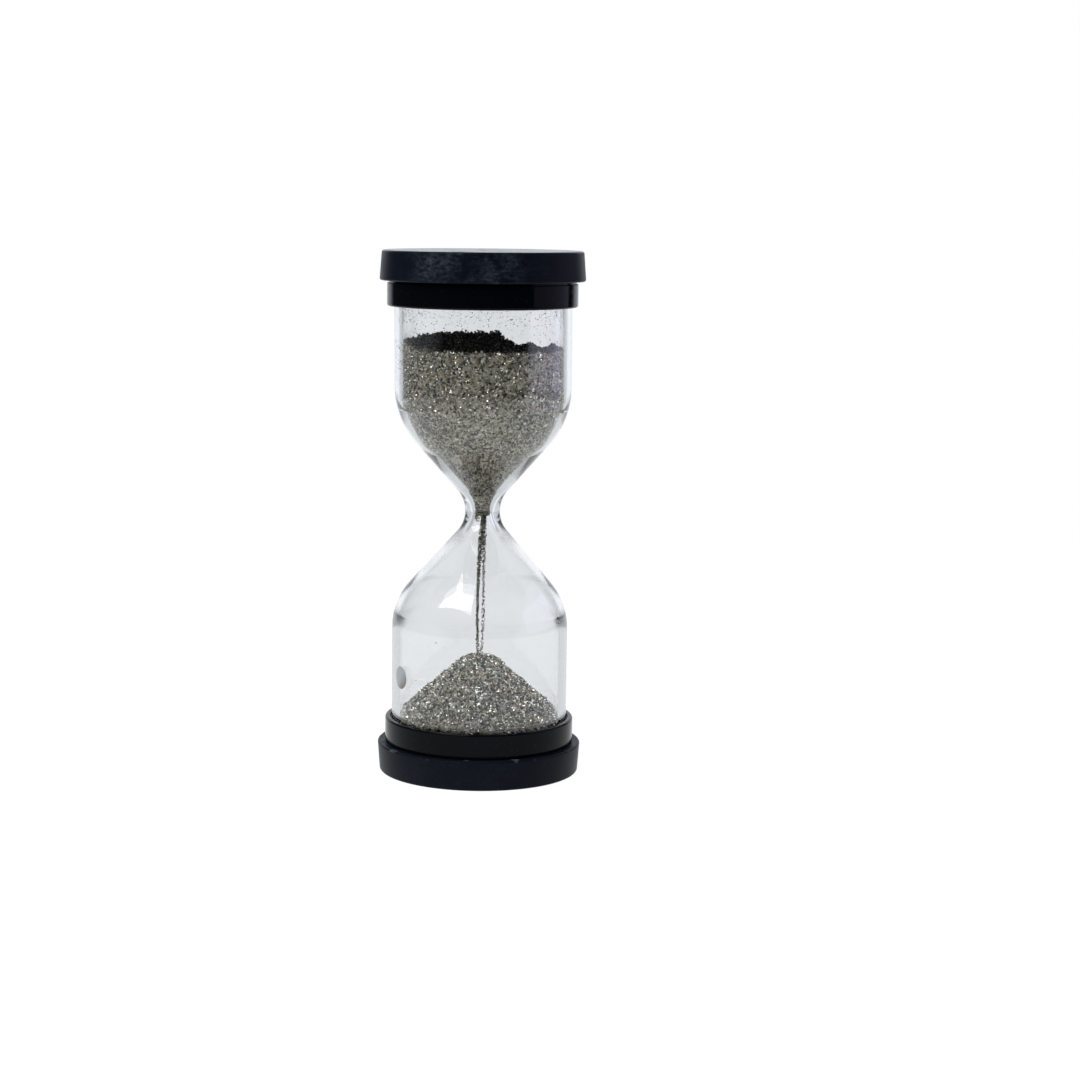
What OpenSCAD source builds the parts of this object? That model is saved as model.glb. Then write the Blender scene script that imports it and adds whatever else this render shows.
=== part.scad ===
// Hourglass: two clear moulded bulbs joined at a narrow waist, closed by plugs,
// with a black collar and a black end cap on each end and glitter sand inside.
// Origin at the centre of the base, +Z up along the axis of every round part.

/* [Overall] */
// Height from the base to the top face
total_height = 96.5; // [80:0.5:116]
// Height of the waist above mid height
waist_rise = 0.4; // [-1:0.1:1]

/* [End caps] */
// Wall of a cap at its open rim
cap_wall = 1.6; // [1.2:0.1:2.4]
// How much narrower the closed end is than the rim
cap_draft = 0.7; // [0:0.1:1.4]
// Height of a cap
cap_height = 5.5; // [4.5:0.1:7]
// Thickness of the closed end
cap_floor = 1.8; // [1.2:0.1:2.2]
// Rounding of the outer edges
cap_edge_r = 0.5; // [0.2:0.1:0.8]

/* [Collars] */
// Height of the part of a collar that shows
collar_height = 4.3; // [3:0.1:6]
// Wall of the part that shows
collar_wall = 0.95; // [0.8:0.05:1.2]
// How far that part stands out over the foot that enters the cap
collar_step = 0.3; // [0.15:0.05:0.45]
// Open groove between the cap's rim and the collar
collar_groove = 0.4; // [0.2:0.1:0.8]
// Rounding of the collar's outer edges
collar_edge_r = 0.4; // [0.1:0.05:0.6]
// Clearance all round between a collar's foot and its cap
collar_fit = 0.05; // [0.02:0.01:0.15]

/* [Bulbs] */
// Outer diameter of the straight part of a bulb
bulb_d = 32.6; // [27:0.1:39.2]
// Wall of the straight part
bulb_wall = 1.5; // [1:0.1:2]
// Wall at the waist
waist_wall = 1.8; // [1.2:0.1:2.4]
// Outer rounding of the waist
waist_r = 5.7; // [4:0.1:7]
// Outer rounding between the cone and the straight part
shoulder_r = 12.8; // [8:0.1:13]
// Angle between the cone and the axis
cone_angle = 41.3; // [34:0.1:50]
// Bore at the waist
bore_d = 2.8; // [2:0.1:4]
// Inner rounding of the waist
bore_r = 6.6; // [4:0.1:8]
// How much wider the inner cone opens than the outer one
inner_flare = 3.7; // [0:0.1:4]
// Inner rounding between the cone and the straight part
inner_shoulder_r = 22; // [16:0.5:26]
// Angle at which that rounding meets the straight part
inner_corner = 20; // [12:1:26]

/* [Orifice disc] */
// How far the disc reaches past the bore, all round
disc_ledge = 0.4; // [0.3:0.05:0.7]
// Thickness of the disc
disc_t = 0.5; // [0.4:0.1:0.8]
// Hole that meters the sand
disc_hole_d = 1.2; // [0.8:0.1:1.8]
// How far the hole is off centre
disc_hole_offset = 0.4; // [0:0.1:0.5]
// Clearance all round between the disc and its pocket
disc_fit = 0.05; // [0.02:0.01:0.1]

/* [Plugs and pads] */
// Length of the plug inside the bulb
plug_length = 1.8; // [1:0.1:2.5]
// Thickness of the plug's flange over the bulb's end
plug_flange = 0.8; // [0.5:0.1:1.2]
// Clearance all round between the plug and the bulb
plug_fit = 0.05; // [0.02:0.01:0.15]
// Thickness of the cushion pad in the cap
pad_t = 0.8; // [0.5:0.1:1.5]
// Clearance all round between the pad and the collar
pad_fit = 0.2; // [0.1:0.05:0.5]
// Thickness of the glue between the bulb and the collar
glue_t = 0.25; // [0.1:0.05:0.3]
// How far the glue stops short of the collar's open edge
glue_recess = 0.6; // [0.2:0.1:1]

/* [Sand] */
// Height of the upper sand's rim above the waist
upper_fill = 29.6; // [20:0.1:35]
// Depth of the crater in the upper sand
crater_depth = 4; // [0:0.5:8]
// Height of the lower heap's edge above the plug
heap_edge = 5.75; // [2:0.05:8]
// Angle of repose of the lower heap
heap_angle = 40; // [25:1:42]
// Rounding of the top of the heap
heap_tip_r = 5.9; // [0.5:0.1:8]
// Clearance between the falling stream and the disc's hole
stream_fit = 0.1; // [0.05:0.05:0.2]
// Clearance between the sand and the clear walls
sand_fit = 0.1; // [0.05:0.05:0.2]

/* [Hidden] */
$fn = 96;

// heights above the base at one end
pad_z = cap_floor;
plug_z = pad_z + pad_t;
bulb_z = plug_z + plug_flange;
collar_z = cap_height + collar_groove;
collar_top_z = collar_z + collar_height;
collar_foot_gap = 0.1;

// radii of the bulb and of what goes round it
bulb_or = bulb_d / 2;
bulb_ir = bulb_or - bulb_wall;
collar_ir = bulb_or + glue_t;
collar_or = collar_ir + collar_wall;
foot_or = collar_or - collar_step;
cap_ir = foot_or + collar_fit;
cap_rim_r = cap_ir + cap_wall;
cap_end_r = cap_rim_r - cap_draft / 2;

// waist plane, and each bulb's length from it
waist_z = total_height / 2 + waist_rise;
lower_length = waist_z - bulb_z;
upper_length = total_height - waist_z - bulb_z;

// outer line of a bulb, as [radius, distance from the waist]
bore_or = bore_d / 2;
waist_or = bore_or + waist_wall;
neck_end = [waist_or + waist_r * (1 - cos(cone_angle)), waist_r * sin(cone_angle)];
shoulder_x = bulb_or - shoulder_r * (1 - cos(cone_angle));
shoulder_start = [shoulder_x, neck_end.y + (shoulder_x - neck_end.x) / tan(cone_angle)];
straight_y = shoulder_start.y + shoulder_r * sin(cone_angle);

// inner line of a bulb
inner_angle = cone_angle + inner_flare;
bore_centre = [bore_or + bore_r, 0];
inner_shoulder_x = bulb_ir - inner_shoulder_r * cos(inner_corner);
inner_cone_x = inner_shoulder_x + inner_shoulder_r * cos(inner_angle);
inner_cone_y = bore_end(0).y + (inner_cone_x - bore_end(0).x) / tan(inner_angle);
inner_shoulder = [inner_shoulder_x, inner_cone_y + inner_shoulder_r * sin(inner_angle)];

// a radius that is inside both lines everywhere
core_r = bore_or / 2;

// orifice disc
disc_or = bore_or + disc_ledge;
disc_hole_r = disc_hole_d / 2;

// lower heap and the stream that feeds it
heap_z = bulb_z + plug_length;
heap_r = bulb_ir - sand_fit;
heap_edge_z = heap_z + heap_edge;
heap_peak_z = heap_edge_z + heap_r * tan(heap_angle);
heap_tip_z = heap_peak_z - heap_tip_r / cos(heap_angle);
heap_top_z = heap_tip_z + heap_tip_r;
stream_length = waist_z - disc_t / 2 - heap_top_z;
stream_tilt = atan(disc_hole_offset / stream_length);

// where the inner cone starts and ends, on a line drawn in by fit
function bore_end(fit) = bore_centre + (bore_r + fit) * [-cos(inner_angle), sin(inner_angle)];
function cone_end(fit) = inner_shoulder + (inner_shoulder_r - fit) * [cos(inner_angle), -sin(inner_angle)];

// height at which the inner rounding of the shoulder meets the straight part, on the same line
function corner_y(fit) =
    let (r = inner_shoulder_r - fit, x = bulb_ir - fit - inner_shoulder.x)
    inner_shoulder.y - sqrt(r * r - x * x);

function arc(centre, r, from, to, steps = 8) =
    [for (i = [0:steps]) let (a = from + (to - from) * i / steps) centre + r * [cos(a), sin(a)]];

// draws one end's piece as it lies at the base, or turned over at the top
module at_end(upper) {
    translate([0, 0, upper ? total_height : 0])
        mirror([0, 0, upper ? 1 : 0])
            children();
}

// the space inside the outer line, from the waist to length, as shapes that lap inside it
module bulb_outline(length) {
    difference() {
        square(neck_end);
        translate([waist_or + waist_r, 0])
            circle(waist_r);
    }
    polygon([
        [0, 0],
        [core_r, 0],
        [core_r, neck_end.y],
        neck_end,
        shoulder_start,
        [shoulder_start.x, straight_y],
        [0, straight_y]
    ]);
    intersection() {
        translate([bulb_or - shoulder_r, straight_y])
            circle(shoulder_r);
        translate([0, shoulder_start.y])
            square([bulb_or, length - shoulder_start.y]);
    }
    translate([0, straight_y])
        square([bulb_or, length - straight_y]);
}

// the space inside the inner line, drawn in by fit, from the waist to length
module bulb_cavity(length, fit = 0) {
    start = bore_end(fit);
    end = cone_end(fit);
    difference() {
        square(start);
        translate(bore_centre)
            circle(bore_r + fit);
    }
    polygon([
        [0, 0],
        [core_r, 0],
        [core_r, start.y],
        start,
        end,
        [end.x, corner_y(fit)],
        [0, corner_y(fit)]
    ]);
    intersection() {
        translate(inner_shoulder)
            circle(inner_shoulder_r - fit);
        translate([0, end.y])
            square([bulb_ir - fit, min(length, inner_shoulder.y) - end.y]);
    }
    translate([0, corner_y(fit)])
        square([bulb_ir - fit, length - corner_y(fit)]);
}

module bulb(length) {
    color("lightblue", 0.3)
        rotate_extrude()
            difference() {
                bulb_outline(length);
                bulb_cavity(length);
                square([disc_or + disc_fit, disc_t / 2]);
            }
}

module end_cap() {
    draft_angle = atan((cap_rim_r - cap_end_r) / cap_height);
    color("#16181d")
        rotate_extrude()
            polygon(concat(
                [[0, 0]],
                arc([cap_end_r - cap_edge_r, cap_edge_r], cap_edge_r, -90, -draft_angle),
                arc([cap_rim_r - cap_edge_r, cap_height - cap_edge_r], cap_edge_r, -draft_angle, 90),
                [[cap_ir, cap_height], [cap_ir, cap_floor], [0, cap_floor]]
            ));
}

module collar() {
    top_edge = [collar_or - collar_edge_r, collar_top_z - collar_edge_r];
    low_edge = [collar_or - collar_edge_r, collar_z + collar_edge_r];
    color("#101216")
        rotate_extrude()
            polygon(concat(
                [[collar_ir, cap_floor + collar_foot_gap], [foot_or, cap_floor + collar_foot_gap]],
                [[foot_or, collar_z + collar_edge_r / 2]],
                arc(low_edge, collar_edge_r, -30, 0),
                arc(top_edge, collar_edge_r, 0, 90),
                [[collar_ir, collar_top_z]]
            ));
}

module plug() {
    color("#23262b")
        rotate_extrude()
            union() {
                translate([0, plug_z])
                    square([bulb_or, plug_flange]);
                translate([0, bulb_z])
                    square([bulb_ir - plug_fit, plug_length]);
            }
}

module pad() {
    color("#4a4d52")
        translate([0, 0, pad_z])
            cylinder(h = pad_t, r = collar_ir - pad_fit);
}

module glue_band() {
    color("#5c5a55")
        rotate_extrude()
            translate([bulb_or, bulb_z])
                square([glue_t, collar_top_z - glue_recess - bulb_z]);
}

module lower_end_cap() {
    at_end(false) end_cap();
}

module upper_end_cap() {
    at_end(true) end_cap();
}

module lower_collar() {
    at_end(false) collar();
}

module upper_collar() {
    at_end(true) collar();
}

module lower_bulb() {
    translate([0, 0, waist_z])
        mirror([0, 0, 1])
            bulb(lower_length);
}

module upper_bulb() {
    translate([0, 0, waist_z])
        bulb(upper_length);
}

module lower_plug() {
    at_end(false) plug();
}

module upper_plug() {
    at_end(true) plug();
}

module lower_pad() {
    at_end(false) pad();
}

module upper_pad() {
    at_end(true) pad();
}

module lower_glue_band() {
    at_end(false) glue_band();
}

module upper_glue_band() {
    at_end(true) glue_band();
}

module orifice_disc() {
    color("#2b2d31")
        translate([0, 0, waist_z - disc_t / 2])
            difference() {
                cylinder(h = disc_t, r = disc_or);
                translate([disc_hole_offset, 0, -disc_t])
                    cylinder(h = 3 * disc_t, r = disc_hole_r);
            }
}

module upper_sand() {
    color("#6e675a")
        translate([0, 0, waist_z])
            rotate_extrude()
                difference() {
                    bulb_cavity(upper_fill, sand_fit);
                    square([disc_or, disc_t / 2]);
                    polygon([
                        [0, upper_fill - crater_depth],
                        [bulb_ir, upper_fill],
                        [bulb_ir, upper_fill + crater_depth],
                        [0, upper_fill + crater_depth]
                    ]);
                }
}

module lower_sand() {
    color("#6e675a")
        rotate_extrude()
            polygon(concat(
                [[0, heap_z], [heap_r, heap_z], [heap_r, heap_edge_z]],
                arc([0, heap_tip_z], heap_tip_r, 90 - heap_angle, 90)
            ));
}

module sand_stream() {
    color("#6e675a")
        translate([0, 0, heap_top_z])
            rotate([0, stream_tilt, 0])
                cylinder(h = stream_length, r = disc_hole_r - stream_fit);
}

lower_end_cap();
upper_end_cap();
lower_collar();
upper_collar();
lower_bulb();
upper_bulb();
lower_plug();
upper_plug();
lower_pad();
upper_pad();
lower_glue_band();
upper_glue_band();
orifice_disc();
upper_sand();
lower_sand();
sand_stream();
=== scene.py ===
import math

import bmesh
import bpy
import numpy as np
from mathutils import Matrix, Vector, noise


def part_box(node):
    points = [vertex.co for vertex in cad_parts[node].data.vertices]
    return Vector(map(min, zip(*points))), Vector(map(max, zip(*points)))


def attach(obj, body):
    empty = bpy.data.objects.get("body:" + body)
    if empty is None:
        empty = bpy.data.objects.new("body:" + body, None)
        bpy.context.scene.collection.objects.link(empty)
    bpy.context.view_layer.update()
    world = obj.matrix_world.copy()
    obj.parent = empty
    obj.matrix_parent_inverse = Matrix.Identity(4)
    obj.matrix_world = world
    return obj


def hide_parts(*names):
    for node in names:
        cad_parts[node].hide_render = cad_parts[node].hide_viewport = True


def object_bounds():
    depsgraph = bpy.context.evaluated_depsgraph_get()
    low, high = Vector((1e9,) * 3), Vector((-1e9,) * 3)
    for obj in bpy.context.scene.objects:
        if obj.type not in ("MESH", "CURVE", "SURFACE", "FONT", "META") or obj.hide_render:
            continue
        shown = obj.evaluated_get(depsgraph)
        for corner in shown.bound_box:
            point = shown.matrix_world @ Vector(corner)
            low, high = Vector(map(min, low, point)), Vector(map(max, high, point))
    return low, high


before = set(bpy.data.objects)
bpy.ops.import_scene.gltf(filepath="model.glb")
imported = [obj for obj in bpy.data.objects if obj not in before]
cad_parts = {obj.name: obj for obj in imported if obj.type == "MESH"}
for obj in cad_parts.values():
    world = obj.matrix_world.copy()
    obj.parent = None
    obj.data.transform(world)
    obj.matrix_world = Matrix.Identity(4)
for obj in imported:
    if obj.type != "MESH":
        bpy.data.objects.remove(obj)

bl_info = {
    "name": "Hourglass",
    "version": (1, 0, 0),
    "blender": (4, 5, 0),
    "location": "View3D > Sidebar > Hourglass",
    "description": "Builds the finished look of a capped hourglass round its CAD frame",
    "category": "Add Mesh",
}

MM = 0.001
WHITE = (1.0, 1.0, 1.0)
BODY = "root"
cad_low, cad_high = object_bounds()


def node_radius(node):
    low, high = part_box(node)
    return (high[0] - low[0]) / 2


def node_span(node):
    low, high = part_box(node)
    return low[2], high[2]


TOP = cad_high[2]
WAIST = node_span("upper_bulb")[0]
CAP_HEIGHT = node_span("lower_end_cap")[1]
CAP_RADIUS = node_radius("lower_end_cap")
CAP_FLOOR = node_span("lower_pad")[0]
COLLAR_FOOT, COLLAR_TOP = node_span("lower_collar")
COLLAR_RADIUS = node_radius("lower_collar")
BULB_RADIUS = node_radius("upper_bulb")
PLUG_FOOT, PLUG_TOP = node_span("lower_plug")
BULB_END = node_span("lower_bulb")[0]
DISC_LOW, DISC_HIGH = node_span("orifice_disc")
UPPER_RIM = node_span("upper_sand")[1]
HEAP_TOP = node_span("lower_sand")[1]

# the disc's metering hole, and how far it is off the middle towards +X
METERING_RADIUS = 0.6 * MM
METERING_OFFSET = 0.4 * MM

# where the drop of sealant is, as its height and its direction from the front towards the right
SEALANT_HEIGHT = 18.6 * MM
SEALANT_TURN = math.radians(-62)

# the two ends of the timer, and the height at which a lower piece is turned over into an upper one
ENDS = (("lower", None), ("upper", TOP))
# the two random numbers that every grain carries for its material
TONES = ("tone", "shine")
# how far a sand body and the grains on it stay inside the clear wall, in half grains
BODY_INSET = 0.8
GRAIN_INSET = 0.62


def length(name, words, default):
    return bpy.props.FloatProperty(
        name=name, description=words, default=default, unit="LENGTH", precision=5
    )


def angle(name, words, degrees):
    return bpy.props.FloatProperty(
        name=name, description=words, default=math.radians(degrees), subtype="ANGLE"
    )


def colour(name, words, default):
    return bpy.props.FloatVectorProperty(
        name=name, description=words, default=default, subtype="COLOR", size=3, min=0, max=1
    )


class BulbSettings(bpy.types.PropertyGroup):
    """Sizes and tint of the clear vial"""

    wall: length("Wall", "Wall of a bulb's straight part", 1.5 * MM)
    waist_wall: length("Waist wall", "Wall at the waist", 1.8 * MM)
    bore: length("Bore", "Radius of the bore at the waist", 1.4 * MM)
    waist_round: length("Waist rounding", "Outer rounding of the waist", 5.7 * MM)
    bore_round: length("Bore rounding", "Inner rounding of the waist", 6.6 * MM)
    shoulder_round: length("Shoulder rounding", "Outer rounding of a shoulder", 12.8 * MM)
    inner_round: length("Inner shoulder", "Inner rounding of a shoulder", 22 * MM)
    upper_extra: length("Upper shoulder", "How much rounder the upper shoulder is outside", 3.5 * MM)
    bow: length("Bow", "How far the vial stands off the axis at the waist", 0.34 * MM)
    cone_angle: angle("Cone angle", "Angle between the outer cone and the axis", 41.3)
    inner_flare: angle("Inner flare", "How much wider the inner cone opens", 3.7)
    inner_corner: angle("Inner corner", "Angle at which the inner shoulder meets the straight part", 20)
    tint: colour("Tint", "Colour that a bulb's wall gives to light", (0.86, 0.874, 0.884))


class CapSettings(bpy.types.PropertyGroup):
    """Sizes and colours of the caps and collars"""

    draft: length("Draft", "How much wider the rim's radius is than the closed end's", 0.35 * MM)
    edge: length("Edge rounding", "Rounding of a cap's outer edges", 0.5 * MM)
    wall: length("Wall", "Wall of a cap at its rim", 1.6 * MM)
    groove: length("Groove", "Open groove between cap and collar", 0.4 * MM)
    collar_edge: length("Collar edge", "Rounding of a collar's edges", 0.4 * MM)
    collar_step: length("Collar step", "How far a collar stands out over its foot", 0.3 * MM)
    glue: length("Glue", "Thickness of the glue round a bulb", 0.25 * MM)
    cap_colour: colour("Cap colour", "Colour of the end caps", (0.0035, 0.0052, 0.0098))
    collar_colour: colour("Collar colour", "Colour of the collars", (0.0014, 0.0018, 0.0030))
    scuff_colour: colour("Scuff colour", "Colour of scuffed and dusty places", (0.03, 0.038, 0.052))


class SandSettings(bpy.types.PropertyGroup):
    """Grain, shape and colours of the sand"""

    grain: length("Grain", "Mean width of a grain", 0.5 * MM)
    heap_angle: angle("Heap angle", "Angle of repose", 40)
    tip_round: length("Tip rounding", "Rounding of the heap's top", 5.9 * MM)
    crater: length("Crater", "Depth of the crater in the upper sand", 4.0 * MM)
    dark: colour("Dark grains", "Colour of the darkest grains", (0.014, 0.016, 0.026))
    body: colour("Grains", "Colour of most grains", (0.61, 0.56, 0.43))
    bright: colour("Bright grains", "Colour of the brightest grains", (0.95, 0.92, 0.86))
    gold: colour("Gold grains", "Colour of the golden flakes", (1.0, 0.82, 0.55))


# shader building


class Value:
    """A shader socket that adds Math nodes when it is used in an expression."""

    def __init__(self, paint, socket):
        self.paint = paint
        self.socket = socket

    def math(self, operation, *others, flip=False):
        terms = [self, *others]
        if flip:
            terms.reverse()
        return self.paint.add("ShaderNodeMath", {"operation": operation}, dict(enumerate(terms)))

    def __add__(self, other):
        return self.math("ADD", other)

    def __radd__(self, other):
        return self.math("ADD", other)

    def __sub__(self, other):
        return self.math("SUBTRACT", other)

    def __rsub__(self, other):
        return self.math("SUBTRACT", other, flip=True)

    def __mul__(self, other):
        return self.math("MULTIPLY", other)

    def __rmul__(self, other):
        return self.math("MULTIPLY", other)

    def __truediv__(self, other):
        return self.math("DIVIDE", other)

    def __pow__(self, other):
        return self.math("POWER", other)

    def __gt__(self, other):
        return self.math("GREATER_THAN", other)

    def __lt__(self, other):
        return self.math("LESS_THAN", other)

    def step(self, low, high):
        """Rises smoothly from 0 at low to 1 at high."""
        return self.paint.add(
            "ShaderNodeMapRange",
            {"interpolation_type": "SMOOTHSTEP"},
            {"Value": self, "From Min": low, "From Max": high},
        )

    def apart(self, middle, low, high):
        """Rises smoothly from 0 at a distance of low from middle to 1 at a distance of high."""
        return (self - middle).math("ABSOLUTE").step(low, high)


class Paint:
    """A node tree under construction. Each node comes from add, which gives back one of its outputs."""

    def __init__(self, owner):
        owner.use_nodes = True
        self.owner = owner
        self.tree = owner.node_tree

    def put(self, socket, value):
        if isinstance(value, Value):
            self.tree.links.new(value.socket, socket)
        elif hasattr(value, "__len__") and not isinstance(value, str) and len(value) == 3:
            wide = socket.type == "RGBA"
            socket.default_value = (*value, 1.0) if wide else tuple(value)
        else:
            socket.default_value = value

    def add(self, kind, settings=None, sockets=None, output=0):
        node = self.tree.nodes.new(kind)
        for key, value in (settings or {}).items():
            if key == "stops":
                self.set_stops(node.color_ramp, value)
            else:
                setattr(node, key, value)
        for key, value in (sockets or {}).items():
            self.put(node.inputs[key], value)
        return Value(self, node.outputs[output])

    @staticmethod
    def set_stops(ramp, stops):
        ramp.elements[1].position = stops[-1][0]
        ramp.elements[1].color = (*stops[-1][1], 1)
        ramp.elements[0].position = stops[0][0]
        ramp.elements[0].color = (*stops[0][1], 1)
        for place, shade in stops[1:-1]:
            ramp.elements.new(place).color = (*shade, 1)

    def mix(self, factor, first, second):
        """A colour between two colours."""
        return self.add(
            "ShaderNodeMix", {"data_type": "RGBA"}, {0: factor, 6: first, 7: second}, output=2
        )

    def noise(self, scale, detail=3.0, rough=0.5, vector=None):
        sockets = {"Scale": scale, "Detail": detail, "Roughness": rough}
        sockets["Vector"] = vector or self.place()
        return self.add("ShaderNodeTexNoise", None, sockets)

    def place(self):
        """The point in the object's own coordinates, in metres."""
        return self.add("ShaderNodeTexCoord", output="Object")

    def axes(self, vector):
        """The three numbers of a vector."""
        node = self.tree.nodes.new("ShaderNodeSeparateXYZ")
        self.put(node.inputs[0], vector)
        return [Value(self, output) for output in node.outputs]

    def stretch(self, scale):
        """The place with each axis scaled, for grain that runs one way."""
        return self.add("ShaderNodeMapping", None, {"Vector": self.place(), "Scale": scale})

    def light_path(self, *names):
        """What the ray that asks has met so far, one number for each name."""
        return [self.add("ShaderNodeLightPath", output=name) for name in names]

    def bump(self, height, strength, distance):
        return self.add(
            "ShaderNodeBump",
            None,
            {"Height": height, "Strength": strength, "Distance": distance},
        )

    def surface(self, **sockets):
        """Sets sockets of the Principled shader; an underscore stands for a space."""
        shader = self.tree.nodes["Principled BSDF"]
        for key, value in sockets.items():
            self.put(shader.inputs[key.replace("_", " ")], value)


def new_material(name):
    return Paint(bpy.data.materials.new(name))


def cap_material(style):
    """Satin black moulding with fine orange peel, a dusty smudge on the front of the upper cap, and specks.
    The lower cap's rim edge has lighter flecks drawn as chips, which are painted highlights,
    and the upper cap's flat top is polished."""
    paint = new_material("satin_black_moulding")
    x, y, z = paint.axes(paint.place())
    patch = paint.noise(210, 4, 0.6)
    fibre = paint.noise(900, 5, 0.75, paint.stretch((1, 1, 2.2)))
    across, up = x + 3.5 * MM, z - (TOP - 3 * MM)
    handled = 1 - (across ** 2 + up ** 2).step((6 * MM) ** 2, (12.5 * MM) ** 2)
    facing = 1 - y.step(-16.8 * MM, -12 * MM)
    smudge = (patch.step(0.38, 0.66) * (0.12 + 1.3 * handled * facing)) * fibre.step(0.36, 0.68)
    specks = 0.35 * paint.noise(2400, 2, 0.5).step(0.66, 0.74)
    # the lighter flecks along the lower cap's rim edge are painted highlights, drawn as chips
    rim = 1 - z.apart(CAP_HEIGHT - 0.1 * MM, 0.1 * MM, 0.4 * MM)
    rim_highlights = 2.2 * rim * paint.noise(330, 2, 0.5, paint.stretch((1, 1, 0.1))).step(0.58, 0.66)
    # the dust mask also carries the rim's painted highlights
    dust = (smudge + specks + rim_highlights).math("MINIMUM", 2.0)
    peel = paint.noise(1500, 3, 0.5)
    scratch = paint.noise(420, 6, 0.8, paint.stretch((0.5, 0.5, 6)))
    height = peel * 0.5 + fibre * 0.5 + scratch * 0.6
    flat_top = z > (TOP - 0.2 * MM)
    clean, scuffed = style.cap_colour, style.scuff_colour
    # the colour that dust and the rim's painted highlights lighten towards
    dust_and_highlight_colour = tuple(2 * b - a for a, b in zip(clean, scuffed))
    paint.surface(
        Base_Color=paint.mix((0.5 * dust).math("MINIMUM", 1.0), tuple(clean), dust_and_highlight_colour),
        Roughness=0.3 + 0.14 * patch + 0.22 * dust - 0.2 * flat_top,
        Specular_IOR_Level=0.05,
        Normal=paint.bump(height, 0.28, 0.06 * MM),
    )
    return paint.owner


def collar_material(style):
    """Glossy black moulding with faint rubbing marks."""
    paint = new_material("gloss_black_moulding")
    rub = paint.noise(380, 4, 0.65, paint.stretch((1, 1, 3)))
    speck = paint.noise(2600, 2, 0.5).step(0.68, 0.75)
    paint.surface(
        Base_Color=paint.mix(speck * 0.5, tuple(style.collar_colour), tuple(style.scuff_colour)),
        Roughness=0.07 + 0.16 * rub.step(0.4, 0.75),
        Specular_IOR_Level=0.075,
        Normal=paint.bump(paint.noise(260, 2, 0.5), 0.12, 0.08 * MM),
    )
    return paint.owner


def clear_material(style):
    """Clear moulded wall with a slight ripple and a little haze. It is rougher at the sides of the lower
    shoulder and of the neck, where a smooth wall would trap light and look black."""
    paint = new_material("clear_moulding")
    ripple = paint.noise(95, 2, 0.45, paint.stretch((1, 1, 0.7)))
    mark = paint.noise(700, 4, 0.7).step(0.72, 0.8)
    x, _, z = paint.axes(paint.place())
    wide = x.apart(0, 12.5 * MM, 14.2 * MM)
    shoulder = 1 - z.apart(WAIST - 19.6 * MM, 0.6 * MM, 2.4 * MM)
    beside = x.apart(0.4 * MM, 2.6 * MM, 3.4 * MM)
    neck = 1 - z.apart(WAIST - 1.2 * MM, 2.5 * MM, 7 * MM)
    worn = 0.2 * wide * shoulder + 0.3 * beside * neck
    paint.surface(
        Base_Color=tuple(style.tint),
        Roughness=0.003 + 0.03 * mark + worn,
        IOR=1.49,
        Transmission_Weight=1.0,
        Normal=paint.bump(ripple, 0.03, 0.12 * MM),
    )
    return paint.owner


def plain_material(name, shade, rough, scale, depth):
    """A hidden or small piece: mottled colour, uneven roughness and a fine grain."""
    paint = new_material(name)
    mottle = paint.noise(scale, 4, 0.6)
    paint.surface(
        Base_Color=paint.mix(mottle, tuple(0.7 * c for c in shade), tuple(1.3 * c for c in shade)),
        Roughness=rough - 0.1 + 0.2 * mottle,
        Normal=paint.bump(paint.noise(4 * scale, 3, 0.6), 0.4, depth),
    )
    return paint.owner


def sealant_material():
    """Cured sealant, painted with light and shade: pale and bluish at its upper left and brown towards its
    lower right.
    """
    paint = new_material("hazy_sealant")
    x, _, z = paint.axes(paint.place())
    middle = BULB_RADIUS * math.sin(SEALANT_TURN)
    # painted light and shade across the drop: pale where lit at the upper left, dark at the lower right
    across = (x - middle) * 500 - (z - SEALANT_HEIGHT) * 300
    painted_light_to_shade = (across + 0.5 * paint.noise(900, 3)).step(0.1, 1.3)
    paint.surface(
        Base_Color=paint.mix(painted_light_to_shade, (0.27, 0.295, 0.33), (0.1, 0.08, 0.06)),
        Roughness=0.3 + 0.2 * paint.noise(1600, 3),
        Normal=paint.bump(paint.noise(700, 3), 0.3, 0.05 * MM),
    )
    return paint.owner


def sand_material(style):
    """Glitter sand: a grain takes its colour from its tone, and its metal and polish from its shine."""
    paint = new_material("glitter_sand")
    tone, shine = (
        paint.add("ShaderNodeAttribute", {"attribute_name": name}, output="Fac") for name in TONES
    )
    stops = [
        (0.0, tuple(style.dark)),
        (0.3, tuple(0.34 * c for c in style.body)),
        (0.5, tuple(style.body)),
        (0.66, tuple(min(1, 2.0 * c) for c in style.body)),
        (0.82, tuple(style.bright)),
        (1.0, tuple(style.gold)),
    ]
    shade = paint.add("ShaderNodeValToRGB", {"stops": stops}, {"Fac": tone})
    fine = paint.noise(5200, 3, 0.6)
    paint.surface(
        Base_Color=shade,
        Metallic=shine.step(0.4, 0.7) * 0.9,
        Roughness=0.46 - 0.3 * shine + 0.08 * fine,
        Specular_IOR_Level=0.0,
        Normal=paint.bump(fine, 0.3, 0.03 * MM),
    )
    return paint.owner


# mesh building


def arc(centre, radius, start, end, steps):
    """Points (radius from the axis, height) along a round stretch; the angles are in degrees."""
    angles = [math.radians(start + (end - start) * i / steps) for i in range(steps + 1)]
    return [(centre[0] + radius * math.cos(a), centre[1] + radius * math.sin(a)) for a in angles]


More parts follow.
